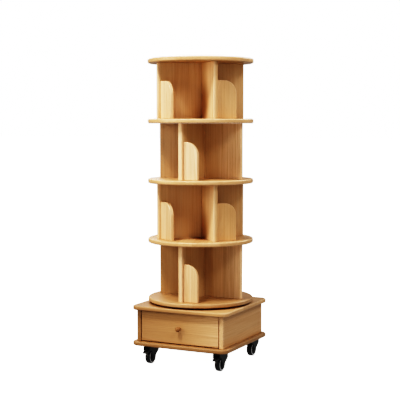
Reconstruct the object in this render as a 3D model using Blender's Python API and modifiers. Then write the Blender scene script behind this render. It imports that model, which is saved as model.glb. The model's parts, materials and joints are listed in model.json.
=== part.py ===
"""Revolving bookcase: a round tower of open shelves that turns on a square drawer base with casters.

Metres, +Z up. The origin is on the floor, under the tower's axis. The drawer faces -Y.
"""

import math

import bmesh
import bpy
from mathutils import Matrix, Vector

# Clearances
FIT = 0.0003  # between pieces that touch
SLIDE_CLEARANCE = 0.0008  # beside the drawer's sides
REVEAL = 0.002  # round the drawer front
BALL_CLEARANCE = 0.0004  # round the balls, whose grooves are faceted
AXLE_CLEARANCE = 0.0001  # round axles and pins

# Tower
DISC_RADIUS = 0.225
DISC_THICKNESS = 0.018
DISC_ROUND = 0.008
TIER_CLEAR = 0.236
TIER_COUNT = 4
TIER_STEP = math.radians(45)
TOWER_TURN = math.radians(-2.7)  # how the tower stands in the photograph
DISC_OVERHANG = 0.032  # of a disc beyond the uprights
UPRIGHT_REACH = DISC_RADIUS - DISC_OVERHANG  # from the axis to an upright's outer end
UPRIGHT_THICKNESS = 0.018
UPRIGHT_ROUND = 0.003
UPRIGHT_NAMES = ("front", "right", "back", "left")

# Guards at the mouths of the compartments
GUARD_THICKNESS = 0.015
GUARD_HEIGHT = 0.158
GUARD_CORNER = 0.056
GUARD_SETBACK = 0.012  # behind the upright's outer end
WIDE_GUARD = 0.091
WIDE_GUARD_TURN = math.radians(12.5)  # inwards from square to its upright
NARROW_GUARD = 0.066

# Base cabinet
SLAB_SIZE = 0.446
SLAB_THICKNESS = 0.018
SLAB_CORNER = 0.036
SLAB_ROUND = 0.007
SLAB_OVERHANG = 0.022  # beyond the cabinet
CABINET_SIZE = SLAB_SIZE - 2 * SLAB_OVERHANG
CABINET_CLEAR = 0.134
WALL_THICKNESS = 0.018

# Drawer
FRONT_THICKNESS = 0.018
DRAWER_BACK_GAP = 0.0207  # between the drawer and the cabinet's back
DRAWER_HEIGHT = 0.095
DRAWER_WALL = 0.012
PANEL_THICKNESS = 0.006
PANEL_RISE = 0.008  # of the bottom panel above the sides' lower edges
KNOB_RADIUS = 0.012
KNOB_LENGTH = 0.023
KNOB_NECK = 0.0065
KNOB_FOOT = 0.009
KNOB_UNDERCUT = 40  # degrees below the head's widest circle

# Turntable
TURNTABLE_HEIGHT = 0.0075
PLATE_RADIUS = 0.105
PLATE_THICKNESS = 0.0026
RACE_RADIUS = 0.085
BALL_RADIUS = 0.0020
BALL_COUNT = 12
CAGE_WIDTH = 0.011
CAGE_THICKNESS = 0.0010

# Casters
CASTER_HEIGHT = 0.085
CASTER_INSET = 0.059  # from the slab's edge in to the swivel axis
TOP_PLATE = (0.058, 0.054)
TOP_PLATE_THICKNESS = 0.003
TOP_PLATE_CORNER = 0.006
SWIVEL_RADIUS = 0.019
SWIVEL_HEIGHT = 0.0045
WHEEL_RADIUS = 0.030
WHEEL_WIDTH = 0.023
WHEEL_ROUND = 0.005
WHEEL_DISH = 0.003
WHEEL_LIP = 0.007  # from the tread in to the dish
WHEEL_HUB = 0.010
WHEEL_SIDES = 28
WHEEL_TRAIL = 0.012  # of the axle behind the swivel axis
AXLE_RADIUS = 0.004
NUT_RADIUS = 0.0075
NUT_HEIGHT = 0.004
CHEEK_THICKNESS = 0.0030
CHEEK_GAP = 0.0015  # between a cheek and the wheel
CHEEK_FOOT = 0.011  # radius round the axle
CHEEK_FOOT_ARC = (195, 345)  # degrees, under the axle
CHEEK_BITE = 0.0010  # of the nut, and of the pin's end, in a cheek
CROWN_THICKNESS = 0.005
CROWN_FRONT = 0.022
CROWN_BACK = 0.058
SKIRT_DROP = 0.014  # of the fork's straight skirt under its crown
BACK_DROP = 0.022  # of its longer back edge
CHEEK_FRONT = 0.004  # of the cheeks' front edge before the swivel axis, under the skirt

# Brake pedals on the two front casters
PEDAL_WIDTH = 0.021
PEDAL_PIN = 0.0022
PEDAL_HUB = 0.0060
PEDAL_TOE = 0.026
PEDAL_THICKNESS = 0.0080
PEDAL_SLOPE = math.radians(30)
PEDAL_PRESS = math.radians(10)  # its travel
SHOE_LAG = math.radians(21)  # of the shoe behind the line from pin to axle
SHOE_SPAN = math.radians(15)
PEDAL_INSET = 0.0080  # of the pin behind the fork's front edge
PEDAL_DROP = 0.0085  # of the pin under the crown

# Facets
DISC_SIDES = 60
PLATE_SIDES = 40
SMALL_SIDES = 24
ARC_STEPS = 8

# Colour, roughness and metallic value of each finish
FINISHES = {
    "wood": ((0.62, 0.36, 0.16), 0.45, 0.0),
    "black_plastic": ((0.012, 0.012, 0.013), 0.4, 0.0),
    "black_metal": ((0.015, 0.015, 0.016), 0.35, 0.6),
    "steel": ((0.55, 0.56, 0.58), 0.35, 1.0),
}

# Levels, from the floor up
SLAB_LOW = CASTER_HEIGHT
CABINET_LOW = SLAB_LOW + SLAB_THICKNESS
CABINET_TOP = CABINET_LOW + CABINET_CLEAR
SLAB_TOP = CABINET_TOP + SLAB_THICKNESS
TOWER_LOW = SLAB_TOP + TURNTABLE_HEIGHT
TIER_PITCH = TIER_CLEAR + DISC_THICKNESS

# Maps a flat outline's own x, y and z to y, z and x
UPRIGHT_PLANE = Matrix(((0, 0, 1, 0), (1, 0, 0, 0), (0, 1, 0, 0), (0, 0, 0, 1)))

for old in list(bpy.data.objects):
    bpy.data.objects.remove(old, do_unlink=True)

scene_root = bpy.context.scene.collection
parts = bpy.data.collections.new("revolving_bookcase")
cutters = bpy.data.collections.new("cutters")
scene_root.children.link(parts)
scene_root.children.link(cutters)


def finish(obj, kind):
    """Gives a piece its own material of the named finish."""
    colour, roughness, metallic = FINISHES[kind]
    material = bpy.data.materials.new(f"{obj.name}_{kind}")
    material.use_nodes = True
    shader = material.node_tree.nodes["Principled BSDF"]
    shader.inputs["Base Color"].default_value = (*colour, 1)
    shader.inputs["Roughness"].default_value = roughness
    shader.inputs["Metallic"].default_value = metallic
    material.diffuse_color = (*colour, 1)
    obj.data.materials.append(material)


def pivot(name, location, parent=None, turn=0.0):
    """An empty on a joint's axis that carries the pieces that move together."""
    empty = bpy.data.objects.new(name, None)
    empty.location = location
    empty.rotation_euler.z = turn
    empty.parent = parent
    parts.objects.link(empty)
    return empty


def place(obj, kind, parent=None, matrix=None):
    """Puts a new object among the parts, under its parent, with its finish."""
    parts.objects.link(obj)
    obj.parent = parent
    if matrix is not None:
        obj.matrix_basis = matrix
    finish(obj, kind)
    return obj


def as_cutter(obj):
    """Keeps a helper solid out of the parts."""
    cutters.objects.link(obj)
    obj.hide_render = True
    obj.display_type = "WIRE"
    return obj


def boolean(obj, other, operation):
    modifier = obj.modifiers.new(f"{operation.lower()}_{other.name}", "BOOLEAN")
    modifier.operation = operation
    modifier.object = other
    modifier.solver = "EXACT"


def block(name, size):
    """A box centred on its own origin."""
    cube = bmesh.new()
    bmesh.ops.create_cube(cube, size=1)
    bmesh.ops.scale(cube, vec=Vector(size), verts=cube.verts)
    mesh = bpy.data.meshes.new(name)
    cube.to_mesh(mesh)
    cube.free()
    return bpy.data.objects.new(name, mesh)


def panel(name, low, high, kind="wood", parent=None):
    """A square-edged board between two corners, given in its parent's frame."""
    low, high = Vector(low), Vector(high)
    return place(block(name, high - low), kind, parent, Matrix.Translation((low + high) / 2))


def arc(centre, radius, start, end, steps=ARC_STEPS):
    """Points on a circle, from one angle to another in degrees."""
    points = []
    for step in range(steps + 1):
        angle = math.radians(start + (end - start) * step / steps)
        points.append((centre[0] + radius * math.cos(angle), centre[1] + radius * math.sin(angle)))
    return points


def outline(name, loops, thickness):
    """A flat solid of closed loops, the first outside and the rest holes, centred on its plane."""
    curve = bpy.data.curves.new(name, "CURVE")
    curve.dimensions = "2D"
    curve.fill_mode = "BOTH"
    curve.extrude = thickness / 2
    for loop in loops:
        spline = curve.splines.new("POLY")
        spline.points.add(len(loop) - 1)
        for point, (x, y) in zip(spline.points, loop):
            point.co = (x, y, 0, 1)
        spline.use_cyclic_u = True
    return bpy.data.objects.new(name, curve)


def to_mesh(curve_object):
    """A welded mesh object in place of a curve, so that it can be cut, joined or bevelled."""
    scene_root.objects.link(curve_object)
    bpy.context.view_layer.update()
    graph = bpy.context.evaluated_depsgraph_get()
    mesh = bpy.data.meshes.new_from_object(curve_object.evaluated_get(graph))
    name = curve_object.name
    bpy.data.objects.remove(curve_object, do_unlink=True)
    solid = bmesh.new()
    solid.from_mesh(mesh)
    bmesh.ops.remove_doubles(solid, verts=solid.verts, dist=1e-6)
    bmesh.ops.recalc_face_normals(solid, faces=solid.faces)
    solid.to_mesh(mesh)
    solid.free()
    mesh.name = name
    return bpy.data.objects.new(name, mesh)


def turned(name, profile, sides, closed=False):
    """A profile of (radius, height) points turned about Z. It runs down its outer side."""
    mesh = bpy.data.meshes.new(name)
    edges = [(i, i + 1) for i in range(len(profile) - 1)]
    if closed:
        edges.append((len(profile) - 1, 0))
    mesh.from_pydata([(r, 0, z) for r, z in profile], edges, [])
    obj = bpy.data.objects.new(name, mesh)
    screw = obj.modifiers.new("turn", "SCREW")
    screw.steps = sides
    screw.render_steps = sides
    screw.use_merge_vertices = True
    screw.merge_threshold = 0.00001
    screw.use_smooth_shade = True
    return obj


def rounded_rim(radius, low, high, edge, steps=2):
    """Profile of a disc whose rim is rounded above and below."""
    upper = arc((radius - edge, high - edge), edge, 90, 0, steps)
    lower = arc((radius - edge, low + edge), edge, 0, -90, steps)
    return [(0, high), *upper, *lower, (0, low)]


def rounded_square(half_x, half_y, corner, steps=ARC_STEPS):
    """Outline of a rectangle with round corners, centred on the origin."""
    x, y = half_x - corner, half_y - corner
    points = []
    for quarter, centre in enumerate(((x, y), (-x, y), (-x, -y), (x, -y))):
        points += arc(centre, corner, 90 * quarter, 90 * quarter + 90, steps)
    return points


def bevel(obj, width, segments, angle=30):
    modifier = obj.modifiers.new("rounded_edges", "BEVEL")
    modifier.width = width
    modifier.segments = segments
    modifier.limit_method = "ANGLE"
    modifier.angle_limit = math.radians(angle)


# Tower: discs, uprights and guards

tower = pivot("tower_pivot", (0, 0, TOWER_LOW), turn=TOWER_TURN)
DISC_NAMES = ("turning_plate", "lower_shelf", "middle_shelf", "upper_shelf", "top_disc")


def make_discs():
    for level, name in enumerate(DISC_NAMES):
        profile = rounded_rim(DISC_RADIUS, 0, DISC_THICKNESS, DISC_ROUND)
        height = Matrix.Translation((0, 0, level * TIER_PITCH))
        place(turned(name, profile, DISC_SIDES), "wood", tower, height)


def round_outer_end(obj):
    """Rounds the two upright edges of a board's outer end."""
    board = bmesh.new()
    board.from_mesh(obj.data)
    reach = max(vert.co.x for vert in board.verts)
    outer = []
    for edge in board.edges:
        a, b = (vert.co for vert in edge.verts)
        if min(a.x, b.x) > reach - FIT and abs(a.z - b.z) > FIT:
            outer.append(edge)
    bmesh.ops.bevel(board, geom=outer, offset=UPRIGHT_ROUND, segments=3, profile=0.5, affect="EDGES")
    board.to_mesh(obj.data)
    board.free()


def make_upright(name, turn, floor):
    """A board from the axis out. One face passes through the axis, and its end meets the next board."""
    low = Vector((FIT / 2, FIT / 2, floor + FIT))
    high = Vector((UPRIGHT_REACH, FIT / 2 + UPRIGHT_THICKNESS, floor + TIER_CLEAR - FIT))
    board = block(name, high - low)
    round_outer_end(board)
    place(board, "wood", tower, turn @ Matrix.Translation((low + high) / 2))


def make_guard(name, turn, floor, width, inwards=0.0):
    """A low plate with one round top corner, near an upright's outer end and flush with its face."""
    corner = arc((width - GUARD_CORNER, GUARD_HEIGHT - GUARD_CORNER), GUARD_CORNER, 0, 90)
    loop = [(0, 0), (width, 0), *corner, (0, GUARD_HEIGHT)]
    guard = to_mesh(outline(name, [loop], GUARD_THICKNESS))
    for vert in guard.data.vertices:
        if vert.co.x < FIT:
            vert.co.x = -vert.co.z * math.tan(inwards)
    middle = UPRIGHT_REACH - GUARD_SETBACK - GUARD_THICKNESS / 2
    side = FIT / 2 + UPRIGHT_THICKNESS + FIT
    spot = Matrix.Translation((middle, side, floor + FIT)) @ Matrix.Rotation(inwards, 4, "Z")
    place(guard, "wood", tower, turn @ spot @ UPRIGHT_PLANE)


def make_tiers():
    """Tiers counted from the bottom, every second one turned. Only those have a guard on each upright."""
    for tier in range(TIER_COUNT):
        floor = tier * TIER_PITCH + DISC_THICKNESS
        turned_tier = tier % 2
        for quarter, side in enumerate(UPRIGHT_NAMES):
            angle = quarter * math.pi / 2 - math.pi / 2 + turned_tier * TIER_STEP
            turn = Matrix.Rotation(angle, 4, "Z")
            label = f"tier{tier + 1}_{side}"
            make_upright(f"{label}_upright", turn, floor)
            if turned_tier:
                make_guard(f"{label}_guard", turn, floor, WIDE_GUARD, WIDE_GUARD_TURN)
            elif side == "front":
                make_guard(f"{label}_guard", turn, floor, NARROW_GUARD)


# Base: slabs and cabinet


def make_slab(name, low):
    half = SLAB_SIZE / 2
    slab = to_mesh(outline(name, [rounded_square(half, half, SLAB_CORNER)], SLAB_THICKNESS))
    bevel(slab, SLAB_ROUND, 3)
    place(slab, "wood", None, Matrix.Translation((0, 0, low + SLAB_THICKNESS / 2)))


def make_cabinet():
    make_slab("base_bottom_slab", SLAB_LOW)
    make_slab("base_top_slab", CABINET_TOP)
    outer = CABINET_SIZE / 2
    inner = outer - WALL_THICKNESS
    low, high = CABINET_LOW + FIT, CABINET_TOP - FIT
    panel("base_left_side", (-outer, -outer, low), (-inner, outer, high))
    panel("base_right_side", (inner, -outer, low), (outer, outer, high))
    panel("base_back", (-inner + FIT, inner, low), (inner - FIT, outer, high))


# Drawer

drawer = pivot("drawer_runner", (0, -CABINET_SIZE / 2, CABINET_LOW))


def make_knob():
    """A turned knob: a flared foot, a neck and a rounded head."""
    bulge = KNOB_LENGTH - KNOB_RADIUS
    head = arc((0, bulge), KNOB_RADIUS, 90, -KNOB_UNDERCUT, 7)
    neck = (KNOB_NECK, head[-1][1] / 2)
    profile = [(0, KNOB_LENGTH), *head[1:], neck, (KNOB_FOOT, 0), (0, 0)]
    spot = Matrix.Translation((0, -FIT, CABINET_CLEAR / 2)) @ Matrix.Rotation(math.pi / 2, 4, "X")
    place(turned("drawer_knob", profile, SMALL_SIDES), "wood", drawer, spot)


def make_drawer():
    """A box behind an inset front. Its sides run on the bottom slab."""
    inside = CABINET_SIZE / 2 - WALL_THICKNESS
    front_half = inside - REVEAL
    front_top = CABINET_CLEAR - REVEAL
    front_corner = (front_half, FRONT_THICKNESS, front_top)
    panel("drawer_front", (-front_half, 0, REVEAL), front_corner, parent=drawer)
    side_out = inside - SLIDE_CLEARANCE
    side_in = side_out - DRAWER_WALL
    near = FRONT_THICKNESS + FIT
    far = CABINET_SIZE - WALL_THICKNESS - DRAWER_BACK_GAP
    top = FIT + DRAWER_HEIGHT
    panel("drawer_left_side", (-side_out, near, FIT), (-side_in, far, top), parent=drawer)
    panel("drawer_right_side", (side_in, near, FIT), (side_out, far, top), parent=drawer)
    across = side_in - FIT
    panel("drawer_back", (-across, far - DRAWER_WALL, FIT), (across, far, top), parent=drawer)
    rise = FIT + PANEL_RISE
    bottom_corner = (across, far - DRAWER_WALL - FIT, rise + PANEL_THICKNESS)
    panel("drawer_bottom", (-across, near, rise), bottom_corner, parent=drawer)
    make_knob()


# Turntable


def race_plate(name, low, groove_up, parent=None):
    """A round plate with a ball groove in its upper or lower face."""
    middle = TURNTABLE_HEIGHT / 2 - FIT - PLATE_THICKNESS
    depth_radius = BALL_RADIUS + BALL_CLEARANCE
    half = math.sqrt(depth_radius**2 - middle**2)
    swing = math.degrees(math.acos(half / depth_radius))
    face = PLATE_THICKNESS
    groove = arc((RACE_RADIUS, face + middle), depth_radius, 180 + swing, 360 - swing, 4)
    profile = [(0, face), *groove, (PLATE_RADIUS, face), (PLATE_RADIUS, 0), (0, 0)]
    if not groove_up:
        profile = [(r, PLATE_THICKNESS - z) for r, z in reversed(profile)]
    plate = turned(name, profile, PLATE_SIDES)
    return place(plate, "steel", parent, Matrix.Translation((0, 0, low)))


def make_ball_ring():
    """A flat cage that holds the balls, with its origin on the tower's axis."""
    half_width, half_height = CAGE_WIDTH / 2, CAGE_THICKNESS / 2
    inner, outer = RACE_RADIUS - half_width, RACE_RADIUS + half_width
    section = [(inner, half_height), (outer, half_height), (outer, -half_height), (inner, -half_height)]
    ring = turned("ball_ring", section, PLATE_SIDES, closed=True)
    place(ring, "steel", None, Matrix.Translation((0, 0, SLAB_TOP + TURNTABLE_HEIGHT / 2)))
    balls = bmesh.new()
    for index in range(BALL_COUNT):
        angle = 2 * math.pi * (index + 0.5) / BALL_COUNT
        spot = Matrix.Translation((RACE_RADIUS * math.cos(angle), RACE_RADIUS * math.sin(angle), 0))
        bmesh.ops.create_icosphere(balls, subdivisions=2, radius=BALL_RADIUS, matrix=spot)
    mesh = bpy.data.meshes.new("balls")
    balls.to_mesh(mesh)
    balls.free()
    cutter = as_cutter(bpy.data.objects.new("balls", mesh))
    cutter.parent = ring
    boolean(ring, cutter, "UNION")


def make_turntable():
    race_plate("turntable_lower_plate", SLAB_TOP + FIT, True)
    race_plate("turntable_upper_plate", -FIT - PLATE_THICKNESS, False, tower)
    make_ball_ring()


# Casters

CROWN_TOP = CASTER_HEIGHT - 2 * FIT - TOP_PLATE_THICKNESS - SWIVEL_HEIGHT
CROWN_LOW = CROWN_TOP - CROWN_THICKNESS
AXLE_HEIGHT = WHEEL_RADIUS * math.cos(math.pi / WHEEL_SIDES)  # a facet lies flat on the floor
CHEEK_INNER = WHEEL_WIDTH / 2 + CHEEK_GAP
CHEEK_OUTER = CHEEK_INNER + CHEEK_THICKNESS
PEDAL_Y = -CROWN_FRONT + PEDAL_INSET
PEDAL_Z = CROWN_LOW - PEDAL_DROP


def make_top_plate(name, swivel):
    """The fixed plate under the base, with the round swivel race below it."""
    half_x, half_y = TOP_PLATE[0] / 2, TOP_PLATE[1] / 2
    loop = rounded_square(half_x, half_y, TOP_PLATE_CORNER, 3)
    plate = to_mesh(outline(name, [loop], TOP_PLATE_THICKNESS))
    middle = CASTER_HEIGHT - FIT - TOP_PLATE_THICKNESS / 2
    place(plate, "black_metal", swivel, Matrix.Translation((0, 0, middle)))
    low = -TOP_PLATE_THICKNESS / 2 - SWIVEL_HEIGHT
    profile = [(0, 0), (SWIVEL_RADIUS, 0), (SWIVEL_RADIUS, low), (0, low)]
    race = as_cutter(turned(f"{name}_race", profile, SMALL_SIDES))
    race.parent = plate
    boolean(plate, race, "UNION")


def rod(name, radius, half_length, y, z):
    """A round bar along X, as a helper solid in a caster's frame."""
    profile = [(0, half_length), (radius, half_length), (radius, -half_length), (0, -half_length)]
    bar = as_cutter(turned(name, profile, SMALL_SIDES // 2))
    bar.matrix_basis = Matrix.Translation((0, y, z)) @ UPRIGHT_PLANE
    return bar


def make_fork(name, swivel, braked):
    """A long crown with two cheeks that taper to the axle, which is fixed in them."""
    skirt = CROWN_LOW - SKIRT_DROP
    foot = arc((WHEEL_TRAIL, AXLE_HEIGHT), CHEEK_FOOT, *CHEEK_FOOT_ARC)
    back = [(CROWN_BACK, CROWN_LOW - BACK_DROP), (CROWN_BACK, CROWN_TOP)]
    front = [(-CROWN_FRONT, CROWN_TOP), (-CROWN_FRONT, skirt), (-CHEEK_FRONT, skirt)]
    fork = to_mesh(outline(name, [back + front + foot], 2 * CHEEK_OUTER))
    place(fork, "black_plastic", swivel, UPRIGHT_PLANE)
    long = 2 * (CROWN_FRONT + CROWN_BACK)
    slot = as_cutter(block(f"{name}_slot", (2 * CHEEK_INNER, long, 2 * CROWN_LOW)))
    slot.parent = swivel
    boolean(fork, slot, "DIFFERENCE")
    helpers = [rod(f"{name}_axle", AXLE_RADIUS, CHEEK_OUTER, WHEEL_TRAIL, AXLE_HEIGHT)]
    helpers.append(rod(f"{name}_nut", NUT_RADIUS, NUT_HEIGHT / 2, WHEEL_TRAIL, AXLE_HEIGHT))
    helpers[-1].location.x = CHEEK_OUTER + NUT_HEIGHT / 2 - CHEEK_BITE
    if braked:
        helpers.append(rod(f"{name}_pin", PEDAL_PIN, CHEEK_INNER + CHEEK_BITE, PEDAL_Y, PEDAL_Z))
    for helper in helpers:
        helper.parent = swivel
        boolean(fork, helper, "UNION")


def make_wheel(name, axle):
    """A wheel with a round-shouldered tread, dished sides and a bored hub."""
    half = WHEEL_WIDTH / 2
    bore = AXLE_RADIUS + AXLE_CLEARANCE
    upper = arc((WHEEL_RADIUS - WHEEL_ROUND, half - WHEEL_ROUND), WHEEL_ROUND, 90, 0, 2)
    floor = half - WHEEL_DISH
    dish = [(bore, half), (WHEEL_HUB, half), (WHEEL_HUB, floor), (WHEEL_RADIUS - WHEEL_LIP, floor)]
    side = dish + upper
    profile = side + [(r, -z) for r, z in reversed(side)]
    wheel = turned(name, profile, WHEEL_SIDES, closed=True)
    half_step = Matrix.Rotation(math.pi / WHEEL_SIDES, 4, "Z")
    place(wheel, "black_plastic", axle, UPRIGHT_PLANE @ half_step)


def polar(radius, angle):
    return Vector((radius * math.cos(angle), radius * math.sin(angle)))


def shoe_corners():
    """The shoe's two tip corners, seen from the pin. Pressed fully, the leading one clears the tread."""
    to_axle = Vector((WHEEL_TRAIL - PEDAL_Y, AXLE_HEIGHT - PEDAL_Z))
    towards = math.atan2(to_axle.y, to_axle.x)
    pressed = SHOE_LAG - PEDAL_PRESS
    reach = WHEEL_RADIUS + FIT
    offset = to_axle.length * math.sin(pressed)
    length = to_axle.length * math.cos(pressed) - math.sqrt(reach**2 - offset**2)
    return polar(length, towards - SHOE_LAG - SHOE_SPAN), polar(length, towards - SHOE_LAG)


def make_pedal(name, swivel):
    """A lever on a pin: its toe stands out in front, and its shoe faces the tread."""
    hub = arc((0, 0), PEDAL_HUB, -30, 180 - math.degrees(PEDAL_SLOPE), 6)
    along = polar(-1, PEDAL_SLOPE)
    across = Vector((along.y, -along.x))
    toe_top = along * PEDAL_TOE + across * PEDAL_THICKNESS / 2
    toe_low = along * PEDAL_TOE - across * PEDAL_THICKNESS / 2
    crotch = (along - across) * PEDAL_HUB
    points = [*hub, toe_top, toe_low, crotch, *shoe_corners()]
    loop = [(point[0], point[1]) for point in points]
    bore = arc((0, 0), PEDAL_PIN + AXLE_CLEARANCE, 0, 330, 11)
    lever = pivot(f"{name}_pivot", (0, PEDAL_Y, PEDAL_Z), swivel)
    place(outline(name, [loop, bore], PEDAL_WIDTH), "black_plastic", lever, UPRIGHT_PLANE)


def make_casters():
    """Four swivel casters under the base, rolling along Y as they stand."""
    half = SLAB_SIZE / 2 - CASTER_INSET
    for row, y in (("front", -half), ("back", half)):
        for side, x in (("left", -half), ("right", half)):
            label = f"caster_{row}_{side}"
            swivel = pivot(f"{label}_swivel", (x, y, 0))
            make_top_plate(f"{label}_plate", swivel)
            make_fork(f"{label}_fork", swivel, row == "front")
            axle = pivot(f"{label}_axle", (0, WHEEL_TRAIL, AXLE_HEIGHT), swivel)
            make_wheel(f"{label}_wheel", axle)
            if row == "front":
                make_pedal(f"{label}_brake_pedal", swivel)


make_discs()
make_tiers()
make_cabinet()
make_drawer()
make_turntable()
make_casters()
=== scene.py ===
"""Looks of the revolving bookcase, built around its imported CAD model.

Metres, +Z up, the drawer faces -Y. Tiers are counted from the bottom.
"""

import json
import math
import random

import bmesh
import bpy
from mathutils import Matrix, Vector


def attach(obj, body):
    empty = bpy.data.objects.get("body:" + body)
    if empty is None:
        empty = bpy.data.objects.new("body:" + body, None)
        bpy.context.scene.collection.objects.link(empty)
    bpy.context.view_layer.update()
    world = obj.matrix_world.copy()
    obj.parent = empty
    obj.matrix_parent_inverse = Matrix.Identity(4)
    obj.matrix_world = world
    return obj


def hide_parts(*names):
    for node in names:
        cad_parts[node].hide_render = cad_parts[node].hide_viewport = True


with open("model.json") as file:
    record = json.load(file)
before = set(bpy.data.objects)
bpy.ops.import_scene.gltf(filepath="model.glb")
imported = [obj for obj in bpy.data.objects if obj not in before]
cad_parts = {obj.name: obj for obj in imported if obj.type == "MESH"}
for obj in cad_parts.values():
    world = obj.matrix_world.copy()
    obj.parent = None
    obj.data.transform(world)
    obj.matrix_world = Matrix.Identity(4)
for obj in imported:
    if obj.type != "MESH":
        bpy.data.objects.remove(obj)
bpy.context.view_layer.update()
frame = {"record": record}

scene = bpy.context.scene
record = frame["record"]
BODY = {node: body for body, nodes in record["behaviour"]["bodies"].items() for node in nodes}
SLOT = {row["node"]: row["material_slot"] for row in record["subparts"]}

# Sizes of the CAD model
FIT = 0.0003  # between pieces that touch
DISC_THICKNESS = 0.018
DISC_NAMES = ("turning_plate", "lower_shelf", "middle_shelf", "upper_shelf", "top_disc")
TIER_COUNT = 4
TIER_CLEAR = 0.236
TIER_PITCH = TIER_CLEAR + DISC_THICKNESS
TIER_STEP = math.radians(45)
TOWER_LOW = 0.2625
TOWER_TURN = math.radians(-2.7)
SIDES = ("front", "right", "back", "left")
UPRIGHT_REACH = 0.193
UPRIGHT_THICKNESS = 0.018
UPRIGHT_ROUND = 0.003
GUARD_THICKNESS = 0.015
GUARD_HEIGHT = 0.158
GUARD_CORNER = 0.056
GUARD_SETBACK = 0.012
WIDE_GUARD = 0.091
WIDE_GUARD_TURN = math.radians(12.5)
NARROW_GUARD = 0.066
SLAB_SIZE = 0.446
SLAB_THICKNESS = 0.018
SLAB_CORNER = 0.036
SLAB_LOW = 0.085
CABINET_SIZE = 0.402
CABINET_LOW = 0.103
CABINET_CLEAR = 0.134
CABINET_TOP = CABINET_LOW + CABINET_CLEAR
WALL = 0.018
DRAWER_HEIGHT = 0.095
DRAWER_WALL = 0.012
DRAWER_BACK_GAP = 0.0207
SLIDE_CLEARANCE = 0.0008
PANEL_THICKNESS = 0.006
PANEL_RISE = 0.008
RACE_PLATE_RADIUS = 0.105
RACE_PLATE_THICKNESS = 0.0026
RACE_RADIUS = 0.085
BALL_RADIUS = 0.0020
BALL_COUNT = 12
TURNTABLE_HEIGHT = 0.0075
CAGE_HALF_WIDTH = 0.0055
CAGE_HALF_THICKNESS = 0.0005
CASTER_PLACE = 0.164
CASTER_HEIGHT = 0.085
TOP_PLATE = (0.058, 0.054)
TOP_PLATE_THICKNESS = 0.003
SWIVEL_RADIUS = 0.019
SWIVEL_HEIGHT = 0.0045
CROWN_TOP = CASTER_HEIGHT - 2 * FIT - TOP_PLATE_THICKNESS - SWIVEL_HEIGHT
CROWN_LOW = CROWN_TOP - 0.005
CROWN_FRONT = 0.022
CROWN_BACK = 0.058
SKIRT = CROWN_LOW - 0.014
BACK_SKIRT = CROWN_LOW - 0.022
CHEEK_INNER = 0.013
CHEEK_OUTER = 0.016
CHEEK_FOOT = 0.011
AXLE = (0.012, 0.030 * math.cos(math.pi / 28))  # from the swivel axis and the floor
WHEEL_RADIUS = AXLE[1]
WHEEL_HALF = 0.0115
PEDAL_PIN = (-0.014, CROWN_LOW - 0.0085)
PEDAL_WIDTH = 0.021
PEDAL_SLOPE = 30  # degrees
PEDAL_HUB = 0.006
PEDAL_REACH = 0.022
TOE_RADIUS = 0.004
SHOE_REACH = 0.0122
SHOE_LAG = math.radians(21)
SHOE_WIDTH = math.radians(15)

# Sizes that depart from the CAD model, inside its box
DISC_RADIUS = 0.2247  # just inside the CAD model's faceted rim
DISC_ROUND = 0.006
SLAB_ROUND = 0.006
REVEAL = 0.0034  # round the drawer front


# Node helpers

class Tree:
    """A material's nodes, made one call at a time."""

    def __init__(self, name):
        self.material = bpy.data.materials.new(name)
        self.material.use_nodes = True
        self.nodes = self.material.node_tree.nodes
        self.links = self.material.node_tree.links
        self.shader = self.nodes["Principled BSDF"]

    def put(self, socket, value):
        if isinstance(value, bpy.types.NodeSocket):
            self.links.new(value, socket)
        else:
            socket.default_value = value

    def add(self, kind, inputs=(), out=0, **settings):
        node = self.nodes.new(kind)
        for key, value in settings.items():
            setattr(node, key, value)
        for key, value in dict(inputs).items():
            self.put(node.inputs[key], value)
        return node.outputs[out]

    def attribute(self, name, out=2):
        """A mesh attribute, as a number or, from output 1, a vector."""
        return self.add("ShaderNodeAttribute", out=out, attribute_name=name)

    def math(self, operation, a, b=0.0, clamp=False):
        return self.add("ShaderNodeMath", {0: a, 1: b}, operation=operation, use_clamp=clamp)

    def plus(self, a, b, share, clamp=False):
        """A share of one value on top of another."""
        return self.math("ADD", a, self.math("MULTIPLY", b, share), clamp)

    def vector(self, operation, a, b):
        return self.add("ShaderNodeVectorMath", {0: a, 1: b}, operation=operation)

    def noise(self, at, scale, detail=3.0, rough=0.55):
        inputs = {"Vector": at, "Scale": scale, "Detail": detail, "Roughness": rough}
        return self.add("ShaderNodeTexNoise", inputs)

    def stretched(self, at, across, along, detail=3.0, rough=0.55):
        """Noise drawn out along the grain."""
        return self.noise(self.vector("MULTIPLY", at, (across, across, along)), 1.0, detail, rough)

    def span(self, value, low, high, to_low=0.0, to_high=1.0):
        inputs = {0: value, 1: low, 2: high, 3: to_low, 4: to_high}
        return self.add("ShaderNodeMapRange", inputs)

    def mix(self, factor, a, b, blend="MIX"):
        inputs = {0: factor, 6: a, 7: b}
        return self.add("ShaderNodeMix", inputs, 2, data_type="RGBA", blend_type=blend)

    def layer(self, base, mask, strength, over):
        """A colour laid over another where a mask says so."""
        return self.mix(self.math("MULTIPLY", mask, strength), base, over)

    def grey(self, level):
        return self.add("ShaderNodeCombineColor", {0: level, 1: level, 2: level})

    def ramp(self, factor, stops):
        node = self.nodes.new("ShaderNodeValToRGB")
        self.links.new(factor, node.inputs[0])
        band = node.color_ramp.elements
        while len(band) < len(stops):
            band.new(0.5)
        for element, (place, value) in zip(band, stops):
            element.position = place
            element.color = (value, value, value, 1)
        return node.outputs[0]

    def bump(self, height, strength, distance):
        inputs = {"Strength": strength, "Distance": distance, "Height": height}
        return self.add("ShaderNodeBump", inputs)

    def finish(self, **inputs):
        for key, value in inputs.items():
            self.put(self.shader.inputs[key.replace("_", " ")], value)
        return self.material


def colour(r, g, b):
    return (r, g, b, 1.0)


# Materials. Colours are linear.

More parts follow.
